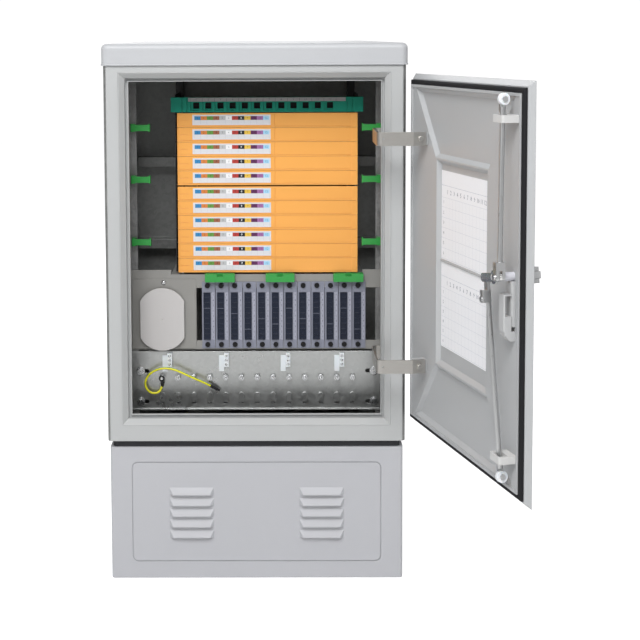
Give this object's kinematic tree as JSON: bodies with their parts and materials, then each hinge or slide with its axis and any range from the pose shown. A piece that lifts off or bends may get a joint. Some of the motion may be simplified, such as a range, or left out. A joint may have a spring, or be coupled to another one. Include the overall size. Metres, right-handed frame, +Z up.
{
  "type": "roadside utility cabinet",
  "caption": "Grey steel street cabinet on a louvred plinth, its door open on splice trays that swing out, splitter cassettes and an earth plate.",
  "frame": {"origin": "on the ground, at the centre of the four anchor holes in the foot of the plinth", "axes": "+Z up, +X to the right as seen from the front, +Y from the front to the back"},
  "size_m": [0.7661, 0.7791, 1.035],
  "materials": {
    "body_paint": "fine textured light grey powder coat",
    "cap_paint": "fine textured light grey powder coat, a little cooler",
    "plinth_paint": "fine textured light grey powder coat",
    "door_paint": "satin light grey powder coat",
    "galvanised": "galvanised sheet, dull with a faint flow",
    "inner_plate": "satin mid grey coat",
    "zinc": "bright zinc plate",
    "stainless": "brushed stainless strip",
    "chrome_metal": "polished plated die-casting",
    "orange_tray": "moulded orange, satin",
    "teal_block": "moulded dark green, satin",
    "green_clip": "moulded green, satin",
    "white_paper": "coated card",
    "grey_strip": "printed strip",
    "cassette_grey": "moulded grey, satin",
    "port_dark": "dark moulded ports",
    "black_plastic": "black nylon",
    "cover_grey": "moulded light grey",
    "white_nylon": "white nylon",
    "black_rubber": "black sponge rubber",
    "seal_rubber": "dark grey rubber",
    "wire_insulation": "yellow insulation with a green stripe"
  },
  "bodies": {
    "cabinet": {"body_shell": "body_paint", "door_frame": "body_paint", "roof_cap": "cap_paint", "plinth_frame": "plinth_paint", "plinth_front_panel": "plinth_paint", "plinth_seal": "seal_rubber", "floor_plate": "galvanised", "cable_grommets": "black_rubber", "side_rails": "galvanised", "mid_plate": "inner_plate", "blank_panel": "inner_plate", "disc_cover": "cover_grey", "dome_screws": "zinc", "splitter_cassettes": "cassette_grey", "splitter_port_strips": "port_dark", "push_rivets": "black_plastic", "tray_hinge_bracket": "galvanised", "tray_hinge_pin": "zinc", "rack_post_right": "galvanised", "parking_block": "teal_block", "parking_strip": "grey_strip", "fibre_hooks": "green_clip", "fibre_clips": "green_clip", "earth_plate": "galvanised", "earth_plate_bolts": "zinc", "earth_studs": "zinc", "cable_clamps": "white_nylon", "earth_wire": "wire_insulation", "earth_lugs": "black_plastic", "hinge_lugs": "body_paint", "hinge_pins": "stainless"},
    "door": {"door_skin": "door_paint", "door_gasket": "black_rubber", "door_inner_pan": "door_paint", "record_cards": "white_paper", "hinge_brackets": "door_paint", "hinge_bolts": "stainless", "hinge_arms": "stainless", "handle_housing": "cover_grey", "handle_clamp": "cover_grey", "rod_guides": "white_nylon"},
    "handle_rotor": {"handle_shaft": "chrome_metal", "lock_cam": "chrome_metal"},
    "lever": {"swing_lever": "cover_grey"},
    "upper_rod_body": {"upper_rod": "zinc"},
    "lower_rod_body": {"lower_rod": "zinc"},
    "upper_roller_body": {"upper_roller": "white_nylon"},
    "lower_roller_body": {"lower_roller": "white_nylon"},
    "tray_01_body": {"tray_01": "orange_tray"},
    "tray_02_body": {"tray_02": "orange_tray"},
    "tray_03_body": {"tray_03": "orange_tray"},
    "tray_04_body": {"tray_04": "orange_tray"},
    "tray_05_body": {"tray_05": "orange_tray"},
    "tray_06_body": {"tray_06": "orange_tray"},
    "tray_07_body": {"tray_07": "orange_tray"},
    "tray_08_body": {"tray_08": "orange_tray"},
    "tray_09_body": {"tray_09": "orange_tray"},
    "tray_10_body": {"tray_10": "orange_tray"},
    "tray_11_body": {"tray_11": "orange_tray"}
  },
  "joints": [
    {"name": "door_hinge", "type": "hinge", "parent": "cabinet", "child": "door", "pos_m": [0.271, -0.124, 0.64], "axis": [0, 0, 1], "range_deg": [-105.26, 3]},
    {"name": "handle_turn", "type": "hinge", "parent": "door", "child": "handle_rotor", "pos_m": [0.40712, -0.58493, 0.667], "axis": [-0.9647, -0.2632, 0], "range_deg": [0, 80]},
    {"name": "handle_lift", "type": "hinge", "parent": "handle_rotor", "child": "lever", "pos_m": [0.44667, -0.57413, 0.667], "axis": [0.0457, -0.1675, -0.9848], "range_deg": [-25, 30]},
    {"name": "upper_rod_pin", "type": "hinge", "parent": "handle_rotor", "child": "upper_rod_body", "pos_m": [0.38621, -0.609, 0.67013], "axis": [-0.9647, -0.2632, 0], "range_deg": [-84, 0]},
    {"name": "lower_rod_pin", "type": "hinge", "parent": "handle_rotor", "child": "lower_rod_body", "pos_m": [0.37597, -0.55055, 0.65971], "axis": [-0.9647, -0.2632, 0], "range_deg": [-87, 0]},
    {"name": "upper_roller_spin", "type": "hinge", "parent": "upper_rod_body", "child": "upper_roller_body", "pos_m": [0.39346, -0.59186, 0.9442], "axis": [-0.2626, 0.9627, -0.0646], "continuous": true},
    {"name": "lower_roller_spin", "type": "hinge", "parent": "lower_rod_body", "child": "lower_roller_body", "pos_m": [0.39538, -0.59131, 0.34941], "axis": [-0.2609, 0.9563, -0.132], "continuous": true},
    {"name": "tray_01_swing", "type": "hinge", "parent": "cabinet", "child": "tray_01_body", "pos_m": [-0.147, -0.031, 0.88], "axis": [0, 0, -1], "range_deg": [0, 90]},
    {"name": "tray_02_swing", "type": "hinge", "parent": "cabinet", "child": "tray_02_body", "pos_m": [-0.147, -0.031, 0.8514], "axis": [0, 0, -1], "range_deg": [0, 90]},
    {"name": "tray_03_swing", "type": "hinge", "parent": "cabinet", "child": "tray_03_body", "pos_m": [-0.147, -0.031, 0.8228], "axis": [0, 0, -1], "range_deg": [0, 90]},
    {"name": "tray_04_swing", "type": "hinge", "parent": "cabinet", "child": "tray_04_body", "pos_m": [-0.147, -0.031, 0.7942], "axis": [0, 0, -1], "range_deg": [0, 90]},
    {"name": "tray_05_swing", "type": "hinge", "parent": "cabinet", "child": "tray_05_body", "pos_m": [-0.147, -0.031, 0.7656], "axis": [0, 0, -1], "range_deg": [0, 90]},
    {"name": "tray_06_swing", "type": "hinge", "parent": "cabinet", "child": "tray_06_body", "pos_m": [-0.147, -0.031, 0.7346], "axis": [0, 0, -1], "range_deg": [0, 90]},
    {"name": "tray_07_swing", "type": "hinge", "parent": "cabinet", "child": "tray_07_body", "pos_m": [-0.147, -0.031, 0.706], "axis": [0, 0, -1], "range_deg": [0, 90]},
    {"name": "tray_08_swing", "type": "hinge", "parent": "cabinet", "child": "tray_08_body", "pos_m": [-0.147, -0.031, 0.6774], "axis": [0, 0, -1], "range_deg": [0, 90]},
    {"name": "tray_09_swing", "type": "hinge", "parent": "cabinet", "child": "tray_09_body", "pos_m": [-0.147, -0.031, 0.6488], "axis": [0, 0, -1], "range_deg": [0, 90]},
    {"name": "tray_10_swing", "type": "hinge", "parent": "cabinet", "child": "tray_10_body", "pos_m": [-0.147, -0.031, 0.6202], "axis": [0, 0, -1], "range_deg": [0, 90]},
    {"name": "tray_11_swing", "type": "hinge", "parent": "cabinet", "child": "tray_11_body", "pos_m": [-0.147, -0.031, 0.5916], "axis": [0, 0, -1], "range_deg": [0, 90]}
  ],
  "couplings": [
    {"joint": "upper_rod_pin", "follows": "handle_turn", "ratio": -1.04},
    {"joint": "lower_rod_pin", "follows": "handle_turn", "ratio": -1.074}
  ]
}
